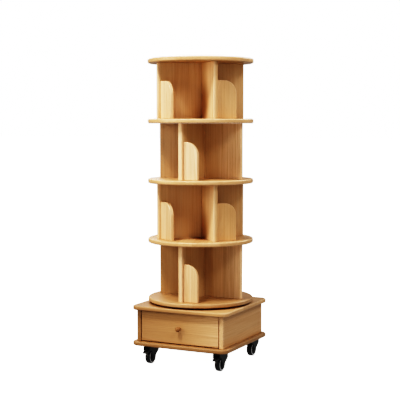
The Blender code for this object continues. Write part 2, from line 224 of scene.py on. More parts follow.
PALE_WOOD = (0.690, 0.440, 0.232)
HONEY_WOOD = (0.615, 0.366, 0.176)
STREAK_WOOD = (0.545, 0.305, 0.134)
LATE_WOOD = (0.455, 0.242, 0.098)
FLECK_WOOD = (0.76, 0.53, 0.31)
RUBBED_WOOD = (0.78, 0.56, 0.34)
# Painted light: a pale colour laid on boards where light falls on them
PAINTED_LIGHT_COLOUR = colour(0.93, 0.65, 0.41)
PAINTED_SHADE_COLOUR = colour(0.58, 0.53, 0.48)  # painted shade where shade falls; multiplies the wood's own colour
PORE = colour(0.28, 0.135, 0.052)
GLUE = colour(0.33, 0.175, 0.075)
WARMTH_STEP = 0.02  # off green and blue, for each unit of warmth

STRIP = 0.058  # width of the glued strips
STRIP_WANDER = 0.002
RING_WIDTH = 0.0046
RING_SWELL = 0.011
RING_RIPPLE = 0.0006
RING_TONES = ((0.0, 0.06), (0.5, 0.16), (0.80, 0.62), (0.93, 0.85), (1.0, 0.06))
BUMP_DEPTH = 0.00012


def wood(name, tone=1.0, warmth=0.0, strip=STRIP, figure=1.0, matt=0.0):
    """Honey-coloured solid wood glued from strips, with rings, fibres, pores and a satin varnish.

    Mesh attributes steer it: "board" is the place across, through and along the grain, "edge" the
    rubbed rims; two more paint light and shade into the colour, one paling the wood as painted
    light where light falls on it, the other browning it as painted shade where shade falls.
    """
    t = Tree(name)
    board = t.attribute("board", out=1)
    worn, sap, heart = (t.attribute(key) for key in ("edge", "sap", "heart"))

    def toned(rgb, warm=0.0):
        r, g, b = rgb
        loss = WARMTH_STEP * warm
        return colour(r * tone, (g - loss) * tone, (b - loss) * tone)

    # Glued strips, each cut from its own place in a log
    across, through = (t.add("ShaderNodeSeparateXYZ", {0: board}, axis) for axis in range(2))
    wander = t.span(t.stretched(board, 1, 3, 1.0), 0.3, 0.7, -STRIP_WANDER, STRIP_WANDER)
    place = t.math("DIVIDE", t.math("ADD", across, wander), strip)
    strip_id = t.math("FLOOR", place)
    chance = t.add("ShaderNodeTexWhiteNoise", {"W": strip_id}, 1, noise_dimensions="1D")
    chance_a, chance_b, chance_c = (
        t.add("ShaderNodeSeparateColor", {0: chance}, channel) for channel in range(3))
    origin = t.add("ShaderNodeCombineXYZ", {0: chance_b, 1: chance_c, 2: chance_a})
    log = t.vector("ADD", board, t.vector("MULTIPLY", origin, (3.0, 3.0, 7.0)))
    local = t.math("SUBTRACT", t.math("FRACT", place), 0.5)

    # Year rings round the heart of each strip's log
    swell = t.stretched(log, 9, 1.1, 2.0, 0.45)
    ripple = t.stretched(log, 60, 5, 2.0)
    off_centre = t.span(chance_b, 0, 1, -0.045, 0.045)
    side = t.math("ADD", t.math("MULTIPLY", local, strip), off_centre)
    depth = t.math("ADD", through, t.span(chance_c, 0, 1, 0.018, 0.075))
    plan = t.add("ShaderNodeCombineXYZ", {0: side, 1: depth})
    radius = t.add("ShaderNodeVectorMath", {0: plan}, 1, operation="LENGTH")
    bend = RING_SWELL * figure
    radius = t.math("ADD", radius, t.span(swell, 0.2, 0.8, -bend, bend))
    radius = t.math("ADD", radius, t.span(ripple, 0.2, 0.8, -RING_RIPPLE, RING_RIPPLE))
    late = t.ramp(t.math("FRACT", t.math("DIVIDE", radius, RING_WIDTH)), RING_TONES)

    # Broad tone, painted light, streaks, pale flecks and pores
    cloud = t.stretched(log, 11, 1.6)
    streak = t.stretched(log, 150, 3.5, 3.0, 0.6)
    fibre = t.stretched(log, 900, 14, 2.0, 0.6)
    pore = t.span(t.stretched(log, 1300, 42, 1.0), 0.66, 0.76)
    fleck = t.span(t.stretched(log, 420, 60, 1.0), 0.68, 0.80)
    pale, honey = toned(PALE_WOOD, warmth), toned(HONEY_WOOD, warmth)
    base = t.mix(t.span(cloud, 0.32, 0.68), pale, honey)
    # Painted light pales the wood, its edge broken up by the rings' swell
    sap = t.math("ADD", sap, t.span(swell, 0.2, 0.8, -0.08, 0.08))
    base = t.mix(t.span(sap, 0.58, 0.90, 0.0, 0.78), base, PAINTED_LIGHT_COLOUR)
    base = t.mix(t.span(streak, 0.42, 0.72, 0.0, 0.45), base, toned(STREAK_WOOD))
    base = t.layer(base, late, 0.42 * figure, toned(LATE_WOOD))
    base = t.layer(base, fleck, 0.20, toned(FLECK_WOOD))
    base = t.layer(base, pore, 0.42, PORE)
    strip_tone = t.span(chance_a, 0, 1, 0.925, 1.055)
    fibre_tone = t.span(fibre, 0.25, 0.75, 0.955, 1.04)
    base = t.mix(1.0, base, t.grey(t.math("MULTIPLY", strip_tone, fibre_tone)), "MULTIPLY")

    # Thin glue lines, paler rubbed edges, and painted shade, which browns the wood and holds back
    # the rubbed edges' paleness where it lies
    seam = t.span(t.math("ABSOLUTE", local), 0.4925, 0.498)
    base = t.layer(base, seam, 0.30, GLUE)
    rub = t.span(t.stretched(log, 90, 22), 0.30, 0.62)
    rub = t.math("MULTIPLY", rub, worn, clamp=True)
    rub = t.math("MULTIPLY", rub, t.math("SUBTRACT", 1.0, heart), clamp=True)
    base = t.layer(base, rub, 0.52, toned(RUBBED_WOOD))
    # Painted shade browns the wood
    base = t.mix(heart, base, PAINTED_SHADE_COLOUR, "MULTIPLY")

    gloss = t.span(streak, 0.3, 0.7, 0.36 + matt, 0.47 + matt)
    gloss = t.plus(gloss, pore, 0.18)
    gloss = t.plus(gloss, rub, 0.08, clamp=True)
    height = t.plus(t.math("MULTIPLY", late, -0.25), pore, -0.8)
    height = t.plus(height, fibre, 0.25)
    height = t.plus(height, seam, -0.8)
    normal = t.bump(height, 0.35, BUMP_DEPTH)
    return t.finish(Base_Color=base, Roughness=gloss, Normal=normal, Coat_Weight=0.10 - matt / 2,
                    Coat_Roughness=0.22, IOR=1.47, Specular_IOR_Level=0.5 - matt)


DUST = colour(0.11, 0.105, 0.10)
RUBBED_PLASTIC = colour(0.085, 0.085, 0.088)
SCRATCH = colour(0.62, 0.62, 0.62)


def plastic(name, low, high, rough, erosion):
    """Black moulded plastic with a fine eroded texture, handling haze and pale rubbed edges."""
    t = Tree(name)
    place = t.add("ShaderNodeTexCoord", out=3)
    worn = t.attribute("edge")
    cloud = t.noise(place, 38.0, 4.0)
    fine = t.noise(place, erosion, 2.0)
    dust = t.span(t.noise(place, 160.0, 4.0, 0.65), 0.55, 0.75)
    darker, paler = colour(low, low, low * 1.05), colour(high, high, high * 1.04)
    base = t.mix(t.span(cloud, 0.35, 0.65), darker, paler)
    base = t.layer(base, dust, 0.10, DUST)
    rub = t.math("MULTIPLY", worn, t.span(cloud, 0.40, 0.60))
    base = t.layer(base, rub, 0.35, RUBBED_PLASTIC)
    gloss = t.plus(t.span(cloud, 0.3, 0.7, rough - 0.06, rough + 0.06), dust, 0.12)
    return t.finish(Base_Color=base, Roughness=gloss, Normal=t.bump(fine, 0.25, BUMP_DEPTH))


def metal(name, bright, dark, rough, metallic, brushed):
    """Plated or enamelled sheet metal with fine lines, blotches and small scratches."""
    t = Tree(name)
    place = t.add("ShaderNodeTexCoord", out=3)
    cloud = t.noise(place, 30.0, 4.0)
    lines = t.noise(t.vector("MULTIPLY", place, (brushed, 18, 18)), 1.0, 3.0)
    cells = {"Vector": t.vector("MULTIPLY", place, (34, 210, 60)), "Scale": 1.0}
    scratch = t.add("ShaderNodeTexVoronoi", cells, feature="DISTANCE_TO_EDGE")
    scratch = t.span(scratch, 0.0, 0.02, 1.0, 0.0)
    scratch = t.math("MULTIPLY", scratch, t.span(cloud, 0.52, 0.62))
    base = t.mix(t.span(cloud, 0.35, 0.65), colour(*bright), colour(*dark))
    base = t.layer(base, scratch, 0.25, SCRATCH)
    gloss = t.span(lines, 0.3, 0.7, rough - 0.07, rough + 0.09)
    normal = t.bump(lines, 0.15, 0.0001)
    return t.finish(Base_Color=base, Metallic=metallic, Roughness=gloss, Normal=normal)


ZINC = ((0.56, 0.57, 0.59), (0.42, 0.43, 0.45))
ENAMEL = ((0.034, 0.034, 0.035), (0.048, 0.048, 0.049))
STEEL = ((0.60, 0.60, 0.61), (0.45, 0.45, 0.46))
# Pale grey of the painted highlight on the wheels
PAINTED_HIGHLIGHT_GREY = ((0.80, 0.80, 0.81), (0.70, 0.70, 0.71))
MATERIALS = {
    "shelf_wood": wood("shelf_wood_grain"),
    # The uprights' tone is lowered to darken the tiers' insides: painted shade
    "upright_wood": wood("upright_wood_grain", 0.89, -0.6, figure=0.75, matt=0.12),
    "guard_wood": wood("guard_wood_grain", 0.97, 0.5, figure=0.8),
    "cabinet_wood": wood("cabinet_wood_grain", 0.86, 0.6),
    "drawer_wood": wood("drawer_wood_grain", 0.88, 0.6, figure=1.3),
    "knob_wood": wood("knob_wood_grain", 0.46, 5.6, strip=0.08, matt=0.18),
    "turntable_steel": metal("zinc_plate", *ZINC, rough=0.38, metallic=1.0, brushed=90),
    "caster_metal": metal("black_enamel", *ENAMEL, rough=0.34, metallic=0.0, brushed=40),
    "caster_plastic": plastic("black_moulding", 0.028, 0.044, rough=0.36, erosion=2600.0),
    "wheel_plastic": plastic("wheel_moulding", 0.026, 0.040, rough=0.32, erosion=1500.0),
}
SCREW_STEEL = metal("screw_steel", *STEEL, rough=0.33, metallic=1.0, brushed=60)
# Painted highlight: pale grey for the beads that stand in for light caught on the wheel's side near
# its tread
PAINTED_HIGHLIGHT_RING = metal("rim_ring", *PAINTED_HIGHLIGHT_GREY, rough=0.30, metallic=0.0, brushed=60)


# Mesh helpers

SHARP_ANGLE = math.radians(46)

# Maps a flat outline's own x, y and z to y, z and x
UPRIGHT_PLANE = Matrix(((0, 0, 1, 0), (1, 0, 0, 0), (0, 1, 0, 0), (0, 0, 0, 1)))
# Maps a flat outline's own x, y and z to x, z and -y
FACING = Matrix.Rotation(math.pi / 2, 4, "X")


def shift(x, y, z):
    return Matrix.Translation((x, y, z))


def arc(centre, radius, start, end, steps):
    points = []
    for step in range(steps + 1):
        angle = math.radians(start + (end - start) * step / steps)
        x, y = radius * math.cos(angle), radius * math.sin(angle)
        points.append((centre[0] + x, centre[1] + y))
    return points


def bow(middle, radius, across, along, degrees):
    """Points round a middle, by their angles from one direction towards another."""
    points = []
    for angle in map(math.radians, degrees):
        away = radius * (math.cos(angle) * across + math.sin(angle) * along)
        points.append(tuple(middle + away))
    return points


def rectangle(low, high, radii, steps):
    """An outline with rounded corners. Radii run anticlockwise from the upper right corner."""
    (x0, y0), (x1, y1) = low, high
    corners = ((x1, y1, -1, -1), (x0, y1, 1, -1), (x0, y0, 1, 1), (x1, y0, -1, 1))
    points = []
    for quarter, ((x, y, sx, sy), r) in enumerate(zip(corners, radii)):
        if r > 0:
            points += arc((x + sx * r, y + sy * r), r, 90 * quarter, 90 * quarter + 90, steps)
        else:
            points.append((x, y))
    return points


def inset(loop, distance):
    """A convex anticlockwise outline moved inwards."""
    points = []
    for i, point in enumerate(loop):
        before = (Vector(point) - Vector(loop[i - 1])).normalized()
        after = (Vector(loop[(i + 1) % len(loop)]) - Vector(point)).normalized()
        normal = Vector((-before.y - after.y, before.x + after.x))
        normal /= max(normal.length_squared / 2, 1e-9)
        points.append((point[0] + normal.x * distance, point[1] + normal.y * distance))
    return points


def mirrored(profile):
    """A turned profile's lower half, from its upper one."""
    return [(radius, -z) for radius, z in reversed(profile)]


def new_object(name, mesh):
    obj = bpy.data.objects.new(name, mesh)
    scene.collection.objects.link(obj)
    for polygon in mesh.polygons:
        polygon.use_smooth = True
    mesh.set_sharp_from_angle(angle=SHARP_ANGLE)
    weighted = obj.modifiers.new("flat_faces", "WEIGHTED_NORMAL")
    weighted.keep_sharp = True
    weighted.weight = 100
    return obj


def mark(mesh, name, values):
    """Writes a mesh attribute, one value a vertex."""
    attribute = mesh.attributes.new(name, "FLOAT", "POINT")
    attribute.data.foreach_set("value", values)


def mark_evenly(mesh, name, value):
    mark(mesh, name, [value] * len(mesh.vertices))


def mark_ends(mesh, name, ends, width):
    """Writes an attribute that runs along X from one end of a centred board to the other."""
    start, end = ends
    mark(mesh, name, [start + (end - start) * (v.co.x / width + 0.5) for v in mesh.vertices])


def prism(name, loop, thickness, fillet, steps, bend=None):
    """An outline made thick along Z, with both rims rounded. Bend may move a finished point."""
    half = thickness / 2
    rings = []
    for step in range(steps + 1):
        angle = math.pi / 2 * step / steps
        inwards = fillet * (1 - math.sin(angle))
        height = half - fillet * (1 - math.cos(angle))
        rings.append((inwards, height, math.sin(2 * angle)))
    rings += [(inwards, -height, rub) for inwards, height, rub in reversed(rings)]
    count = len(loop)
    verts, edge = [], []
    for inwards, height, rub in rings:
        for x, y in inset(loop, inwards):
            point = Vector((x, y, height))
            verts.append(bend(point) if bend else point)
            edge.append(rub)
    faces = [list(range(count))]
    for ring in range(len(rings) - 1):
        low, high = (ring + 1) * count, ring * count
        for i in range(count):
            j = (i + 1) % count
            faces.append([low + i, low + j, high + j, high + i])
    last = (len(rings) - 1) * count
    faces.append([last + i for i in reversed(range(count))])
    mesh = bpy.data.meshes.new(name)
    mesh.from_pydata(verts, [], faces)
    mark(mesh, "edge", edge)
    return new_object(name, mesh)


def lathe(name, profile, sides, edge=None, closed=False):
    """A profile of (radius, height) points turned about Z, from the top down its outer side."""
    verts, rubs, index = [], [], []
    for k, (r, z) in enumerate(profile):
        row = []
        for i in range(1 if r < 1e-7 else sides):
            angle = 2 * math.pi * i / sides
            row.append(len(verts))
            verts.append((r * math.cos(angle), r * math.sin(angle), z))
            rubs.append(edge[k] if edge else 0.0)
        index.append(row)
    pairs = list(zip(index, index[1:]))
    if closed:
        pairs.append((index[-1], index[0]))
    faces = []
    for upper, lower in pairs:
        for i in range(sides):
            j = (i + 1) % sides
            corners = [upper[i % len(upper)], lower[i % len(lower)],
                       lower[j % len(lower)], upper[j % len(upper)]]
            unique = list(dict.fromkeys(corners))
            if len(unique) > 2:
                faces.append(unique)
    mesh = bpy.data.meshes.new(name)
    mesh.from_pydata(verts, [], faces)
    mark(mesh, "edge", rubs)
    return new_object(name, mesh)


def moved(obj, matrix):
    obj.data.transform(matrix)
    return obj


def join(name, parts):
    """One piece from several closed forms."""
    joined = bmesh.new()
    for part in parts:
        joined.from_mesh(part.data)
        bpy.data.objects.remove(part)
    mesh = bpy.data.meshes.new(name)
    joined.to_mesh(mesh)
    joined.free()
    return new_object(name, mesh)


def cut(obj, cutter):
    """The piece with another form taken out of it."""
    name = obj.name
    obj.modifiers.clear()
    difference = obj.modifiers.new("cut", "BOOLEAN")
    difference.operation = "DIFFERENCE"
    difference.object = cutter
    graph = bpy.context.evaluated_depsgraph_get()
    mesh = bpy.data.meshes.new_from_object(obj.evaluated_get(graph))
    bpy.data.objects.remove(obj)
    bpy.data.objects.remove(cutter)
    return new_object(name, mesh)


def grain(obj, order, turn=0.0):
    """Writes the board's own place: across, through and along the grain, shifted by its name."""
    rng = random.Random(obj.name)
    offset = Vector((rng.uniform(0, 40), 0, rng.uniform(0, 40)))
    spin = Matrix.Rotation(turn, 3, "Z")
    values = []
    for vert in obj.data.vertices:
        co = spin @ vert.co
        values += (Vector([co[axis] for axis in order]) + offset)[:]
    attribute = obj.data.attributes.new("board", "FLOAT_VECTOR", "POINT")
    attribute.data.foreach_set("vector", values)


def dress(obj, node, matrix):
    """Puts a piece where a CAD node is, in its place and with its finish."""
    moved(obj, matrix)
    obj.data.materials.append(MATERIALS[SLOT[node]])
    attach(obj, BODY[node])
    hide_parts(node)


def detail(obj, body, material, matrix, slot):
    """Puts a small piece that has no CAD node of its own on a body."""
    moved(obj, matrix)
    obj.data.materials.append(material)
    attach(obj, body)


# Camera, fitted to the photograph's edges

AZIMUTH, PITCH, YAW = math.radians(26.26), math.radians(4.19), math.radians(0.035)
CAMERA_AWAY = 4.495
CAMERA_HEIGHT = 1.0246
PICTURE_WIDTH = 400  # pixels
FOCAL_LENGTH = 1049  # pixels
SENSOR_WIDTH = 36  # millimetres


def make_camera():
    camera = bpy.data.objects.new("camera", bpy.data.cameras.new("camera"))
    camera.data.sensor_width = SENSOR_WIDTH
    camera.data.lens = SENSOR_WIDTH * FOCAL_LENGTH / PICTURE_WIDTH
    x, y = CAMERA_AWAY * math.sin(AZIMUTH), -CAMERA_AWAY * math.cos(AZIMUTH)
    camera.location = (x, y, CAMERA_HEIGHT)
    aim, level = AZIMUTH + YAW, math.cos(PITCH)
    look = Vector((-math.sin(aim) * level, math.cos(aim) * level, -math.sin(PITCH)))
    camera.rotation_euler = look.to_track_quat("-Z", "Y").to_euler()
    scene.collection.objects.link(camera)
    scene.camera = camera


# Film response: a soft S-curve with the photograph's contrast, white a little above 1

FILM_MIDDLE, FILM_SLOPE, FILM_WHITE = 0.40, 2.1, 1.35
FILM_LEVELS = (0.05, 0.1, 0.15, 0.2, 0.26, 0.32, 0.4, 0.5, 0.6, 0.72, 0.85, 1.0, 1.12)


def make_film():
    view = scene.view_settings
    view.view_transform = "Standard"
    view.use_curve_mapping = True
    view.curve_mapping.clip_max_x = FILM_WHITE
    response = view.curve_mapping.curves[3]
    response.points[-1].location = (FILM_WHITE, 1.0)
    for level in FILM_LEVELS:
        share = (level / FILM_MIDDLE) ** FILM_SLOPE
        response.points.new(level, share / (1 + share))
    view.curve_mapping.update()


# Where the photograph's boards are bright or dark from light and shade: painted light that pales
# the wood and painted shade that browns it.
# Straight tiers come first, then turned ones.

PAINTED_LIGHT_UPRIGHTS = (  # painted light by side: how fast it ends inwards, and through the board's thickness
    {"front": (4, 0), "right": (0.55, 0)},
    {"front": (0.40, 0.7), "left": (6, 0)},
)
# Painted shade on whole uprights, by side
PAINTED_SHADE_UPRIGHTS = ({"left": 0.80}, {})
# The guard in each kind of tier that gets painted light
PAINTED_LIGHT_GUARDS = ("front", "left")
PAINTED_LIGHT_GUARD_TONES = (0.77, 0.78, 1.0, 0.86)  # painted light, by tier
DISC_PAINTED_SHADE = (0.64, 0.05, 0, 0, 0.18)  # painted shade, from the turning plate up
BOTTOM_SLAB_PAINTED_SHADE = (0.95, 0.85)  # painted shade, from left to right
# Painted shade on the top slab, from left to right
TOP_SLAB_PAINTED_SHADE = (0.80, 0.0)
LEFT_SIDE_PAINTED_SHADE = {"heart": (1.0, 0.2)}  # painted shade, from front to back
# Painted light along the right side's front edge, from front to back
RIGHT_SIDE_PAINTED_LIGHT = {"sap": (0.78, -5.0)}
DRAWER_FRONT_PAINTED_LIGHT_AND_SHADE = {"heart": (0.70, -0.05), "sap": (0.42, 0.73)}  # painted shade at the left and painted light at the right, from left to right


# Tower

TOWER = shift(0, 0, TOWER_LOW) @ Matrix.Rotation(TOWER_TURN, 4, "Z")
RIM_STEPS = 7
GRAIN_START, GRAIN_STEP = 20, 47  # degrees: the lowest disc's grain, and the turn to the next
FLUSH_REACH = 0.01  # of the turned guards' ends, cut to lie flat on their uprights


def make_discs():
    low, high, r = 0.0, DISC_THICKNESS, DISC_ROUND
    upper = arc((DISC_RADIUS - r, high - r), r, 90, 0, RIM_STEPS)
    lower = arc((DISC_RADIUS - r, low + r), r, 0, -90, RIM_STEPS)
    profile = [(0, high), *upper, *lower, (0, low)]
    rub = [math.sin(math.pi * k / RIM_STEPS) for k in range(RIM_STEPS + 1)]
    edge = [0, *rub, *rub, 0]
    for level, node in enumerate(DISC_NAMES):
        disc = lathe(f"{node}_board", profile, sides=192, edge=edge)
        grain(disc, (1, 2, 0), math.radians(GRAIN_START + GRAIN_STEP * level))
        # Painted shade: browns each disc by its own amount
        mark_evenly(disc.data, "heart", DISC_PAINTED_SHADE[level])
        dress(disc, node, TOWER @ shift(0, 0, level * TIER_PITCH))


def make_upright(node, kind, side, turn, floor):
    radii = (UPRIGHT_ROUND, 0.0008, 0.0008, UPRIGHT_ROUND)
    low, high = (FIT / 2, FIT / 2), (UPRIGHT_REACH, FIT / 2 + UPRIGHT_THICKNESS)
    loop = rectangle(low, high, radii, steps=5)
    board = prism(f"{node}_board", loop, TIER_CLEAR - 2 * FIT, fillet=0.0006, steps=2)
    grain(board, (0, 1, 2))
    # Painted light: paler towards the board's outer end and towards one face
    if side in PAINTED_LIGHT_UPRIGHTS[kind]:
        inwards, through = PAINTED_LIGHT_UPRIGHTS[kind][side]
        places = [(v.co.x / UPRIGHT_REACH, v.co.y / UPRIGHT_THICKNESS) for v in board.data.vertices]
        mark(board.data, "sap", [1 - inwards * (1 - out) - through * deep for out, deep in places])
    # Painted shade on the whole board
    mark_evenly(board.data, "heart", PAINTED_SHADE_UPRIGHTS[kind].get(side, 0.0))
    dress(board, node, TOWER @ turn @ shift(0, 0, floor + TIER_CLEAR / 2))


def make_guard(node, sap, turn, floor, width, inwards=0.0):
    centre = (width - GUARD_CORNER, GUARD_HEIGHT - GUARD_CORNER)
    corner = arc(centre, GUARD_CORNER, 0, 90, 24)
    loop = [(0, 0), (width, 0), *corner, (0, GUARD_HEIGHT)]

    def flush(point):
        share = 1 - min(1, max(0, point.x / FLUSH_REACH))
        return Vector((point.x - point.z * math.tan(inwards) * share, point.y, point.z))

    guard = prism(f"{node}_board", loop, GUARD_THICKNESS, fillet=0.0022, steps=4, bend=flush)
    grain(guard, (0, 2, 1))
    # Painted light, even over the guard
    mark_evenly(guard.data, "sap", sap)
    middle = UPRIGHT_REACH - GUARD_SETBACK - GUARD_THICKNESS / 2
    side = FIT / 2 + UPRIGHT_THICKNESS + FIT
    spot = shift(middle, side, floor + FIT) @ Matrix.Rotation(inwards, 4, "Z")
    dress(guard, node, TOWER @ turn @ spot @ UPRIGHT_PLANE)


def make_tiers():
    """Straight tiers have one narrow guard in front, turned ones a wide guard on each upright."""
    for tier in range(TIER_COUNT):
        floor = tier * TIER_PITCH + DISC_THICKNESS
        kind = tier % 2
        for quarter, side in enumerate(SIDES):
            angle = quarter * math.pi / 2 - math.pi / 2 + kind * TIER_STEP
            turn = Matrix.Rotation(angle, 4, "Z")
            label = f"tier{tier + 1}_{side}"
            make_upright(f"{label}_upright", kind, side, turn, floor)
            # Painted light on one guard a tier
            sap = PAINTED_LIGHT_GUARD_TONES[tier] if side == PAINTED_LIGHT_GUARDS[kind] else 0.0
            if kind:
                make_guard(f"{label}_guard", sap, turn, floor, WIDE_GUARD, WIDE_GUARD_TURN)
            elif side == "front":
                make_guard(f"{label}_guard", sap, turn, floor, NARROW_GUARD)


# Base cabinet

PANEL_SOFT = 0.0012  # rounding of a panel's edges
FRONT_SOFT = 0.0016


def make_slab(node, low, heart):
    half = SLAB_SIZE / 2
    loop = rectangle((-half, -half), (half, half), (SLAB_CORNER,) * 4, steps=14)
    slab = prism(f"{node}_board", loop, SLAB_THICKNESS, SLAB_ROUND, steps=6)
    grain(slab, (1, 2, 0))
    # Painted shade, changing from one end to the other
    mark_ends(slab.data, "heart", heart, SLAB_SIZE)
    dress(slab, node, shift(0, 0, low + SLAB_THICKNESS / 2))


def upright_panel(node, low, high, facing_x, soft=PANEL_SOFT, tones=None):
    """A board on edge between two corners, with its grain level.

    Tones give an attribute's values at the board's two ends.
    """
    low, high = Vector(low), Vector(high)
    middle, size = (low + high) / 2, high - low
    if facing_x:
        width, thick, plane = size.y, size.x, UPRIGHT_PLANE
    else:
        width, thick, plane = size.x, size.y, FACING
    corner = (width / 2, size.z / 2)
    loop = rectangle((-corner[0], -corner[1]), corner, (soft,) * 4, steps=2)
    board = prism(f"{node}_board", loop, thick, soft, steps=3)
    grain(board, (1, 2, 0))
    for name, ends in (tones or {}).items():
        mark_ends(board.data, name, ends, width)
    dress(board, node, Matrix.Translation(middle) @ plane)


def make_cabinet():
    make_slab("base_bottom_slab", SLAB_LOW, BOTTOM_SLAB_PAINTED_SHADE)
    make_slab("base_top_slab", CABINET_TOP, TOP_SLAB_PAINTED_SHADE)
    outer = CABINET_SIZE / 2
    inner = outer - WALL
    low, high = CABINET_LOW + FIT, CABINET_TOP - FIT
    # The sides carry painted shade on the left one and painted light along the right one's front
    # edge
    upright_panel("base_left_side", (-outer, -outer, low), (-inner, outer, high), True,
                  tones=LEFT_SIDE_PAINTED_SHADE)
    upright_panel("base_right_side", (inner, -outer, low), (outer, outer, high), True,
                  tones=RIGHT_SIDE_PAINTED_LIGHT)
    upright_panel("base_back", (-inner + FIT, inner, low), (inner - FIT, outer, high), False)


# Drawer

KNOB_TOP = 0.0230
KNOB_DOME = 0.0080
KNOB_DOME_CENTRE = (0, 0.0150)
KNOB_WIDENING = 1.30
KNOB_WAIST = (
    (0.0102, 0.0148), (0.0098, 0.0130), (0.0086, 0.0109), (0.0070, 0.0089), (0.0058, 0.0067),
    (0.0054, 0.0047), (0.0057, 0.0031), (0.0067, 0.0016), (0.0072, 0.0006), (0.0070, 0.0),
)


def make_knob(front):
    """A turned knob with a flared foot, a waist and a softly domed head."""
    round_head = arc(KNOB_DOME_CENTRE, KNOB_DOME, 90, 8, 9)[1:]
    dome = [(r * KNOB_WIDENING, z) for r, z in round_head]
    profile = [(0, KNOB_TOP), *dome, *KNOB_WAIST, (0, 0)]
    edge = [0] + [0.1] * len(dome) + [0.2] * len(KNOB_WAIST) + [0]
    knob = lathe("drawer_knob_turning", profile, sides=64, edge=edge)
    grain(knob, (0, 1, 2))
    middle = CABINET_LOW + CABINET_CLEAR / 2
    dress(knob, "drawer_knob", shift(0, front - FIT, middle) @ FACING)


def make_drawer():
    front = -CABINET_SIZE / 2
    inside = CABINET_SIZE / 2 - WALL
    wide = inside - REVEAL
    low = CABINET_LOW
    top = low + CABINET_CLEAR - REVEAL
    # The front carries painted shade at its left and painted light at its right
    upright_panel("drawer_front", (-wide, front, low + REVEAL), (wide, front + WALL, top), False,
                  FRONT_SOFT, DRAWER_FRONT_PAINTED_LIGHT_AND_SHADE)
    near = front + WALL + FIT
    far = CABINET_SIZE / 2 - WALL - DRAWER_BACK_GAP
    out = inside - SLIDE_CLEARANCE
    within = out - DRAWER_WALL
    side_low, side_top = low + FIT, low + FIT + DRAWER_HEIGHT
    upright_panel("drawer_left_side", (-out, near, side_low), (-within, far, side_top), True)
    upright_panel("drawer_right_side", (within, near, side_low), (out, far, side_top), True)
    across = within - FIT
    back_near = far - DRAWER_WALL
    upright_panel("drawer_back", (-across, back_near, side_low), (across, far, side_top), False)
    loop = rectangle((-across, near), (across, back_near - FIT), (0.0005,) * 4, steps=1)
    bottom = prism("drawer_bottom_board", loop, PANEL_THICKNESS, fillet=0.0004, steps=1)
    grain(bottom, (1, 2, 0))
    rise = low + FIT + PANEL_RISE
    dress(bottom, "drawer_bottom", shift(0, 0, rise + PANEL_THICKNESS / 2))
    make_knob(front)


# Turntable

RACE_PLATE_SOFT = 0.0008
GROOVE_CLEARANCE = 0.0004
CAGE_BEAD = 0.0003


def race_plate(name):
    """A pressed plate with a ball groove in its upper face and a softened rim."""
    high, r, soft = RACE_PLATE_THICKNESS, RACE_PLATE_RADIUS, RACE_PLATE_SOFT
    above = TURNTABLE_HEIGHT / 2 - FIT - high
    groove = arc((RACE_RADIUS, high + above), BALL_RADIUS + GROOVE_CLEARANCE, 200.8, 339.2, 8)
    rim = [*arc((r - soft, high - soft), soft, 90, 0, 3), *arc((r - soft, soft), soft, 0, -90, 3)]
    bead = [(0.030, high), (0.0306, high - 0.0003), (0.0330, high - 0.0003), (0.0336, high)]
    return lathe(name, [(0, high), *bead, *groove, *rim, (0, 0)], sides=160)


def make_turntable():
    low = CABINET_TOP + SLAB_THICKNESS
    lower = race_plate("turntable_lower_pressing")
    dress(lower, "turntable_lower_plate", shift(0, 0, low + FIT))
    upper = race_plate("turntable_upper_pressing")
    over = Matrix.Rotation(math.pi, 4, "X")
    dress(upper, "turntable_upper_plate", shift(0, 0, TOWER_LOW - FIT) @ over)
    inner, outer = RACE_RADIUS - CAGE_HALF_WIDTH, RACE_RADIUS + CAGE_HALF_WIDTH
    half = CAGE_HALF_THICKNESS
    section = [(inner, half), (inner + 0.0004, half + CAGE_BEAD), (inner + 0.0012, half),
               (outer - 0.0012, half), (outer - 0.0004, half + CAGE_BEAD), (outer, half),
               (outer, -half), (inner, -half)]
    parts = [lathe("cage", section, sides=160, closed=True)]
    half_circle = [(max(x, 0), y) for x, y in arc((0, 0), BALL_RADIUS, 90, -90, 14)]
    for index in range(BALL_COUNT):
        angle = math.pi * (index + 0.5) / (BALL_COUNT / 2)
        place = shift(RACE_RADIUS * math.cos(angle), RACE_RADIUS * math.sin(angle), 0)
        parts.append(moved(lathe("ball", half_circle, sides=28), place))
    cage = join("ball_ring_cage", parts)
    dress(cage, "ball_ring", shift(0, 0, low + TURNTABLE_HEIGHT / 2))


# Casters, each about its own swivel axis. Turned profiles are (radius, height).

SCREW_PLACE = (0.0225, 0.0205)  # from the plate's middle
SCREW_HEAD = ((0, 0), (0.0040, 0), (0.0042, -0.0006), (0.0034, -0.0017), (0.0022, -0.0021),
              (0.0018, -0.0021), (0.0015, -0.0009), (0, -0.0009))
CROWN_ROUND = 0.004
SLOT_LENGTH = 0.2  # of the form that parts a fork's cheeks, well past them
BOSS_HEIGHT = 0.0013
BOSS = ((0, BOSS_HEIGHT), (0.0084, BOSS_HEIGHT), (0.0092, 0.0009), (0.0096, 0), (0, 0))
RIVET = ((0, 0.0008), (0.0022, 0.0007), (0.0032, 0.0003), (0.0034, 0), (0, 0))
KINGPIN = ((0, 0), (0.0075, 0), (0.0072, -0.0010), (0.0050, -0.0021), (0, -0.0025))
NUT = ((0, 0.0008), (0.0058, 0.0008), (0.0068, 0.0003), (0.0070, -0.0012), (0.0070, -0.0032),
       (0, -0.0032))
STUD = ((0, 0.0019), (0.0026, 0.0019), (0.0032, 0.0014), (0.0032, 0), (0, 0))
BOLT_HEAD = ((0, 0.0019), (0.0026, 0.0018), (0.0046, 0.0013), (0.0058, 0.0004), (0.0060, -0.0006),
             (0, -0.0006))
AXLE_ROD = ((0, CHEEK_INNER), (0.0039, CHEEK_INNER), (0.0039, -CHEEK_INNER), (0, -CHEEK_INNER))
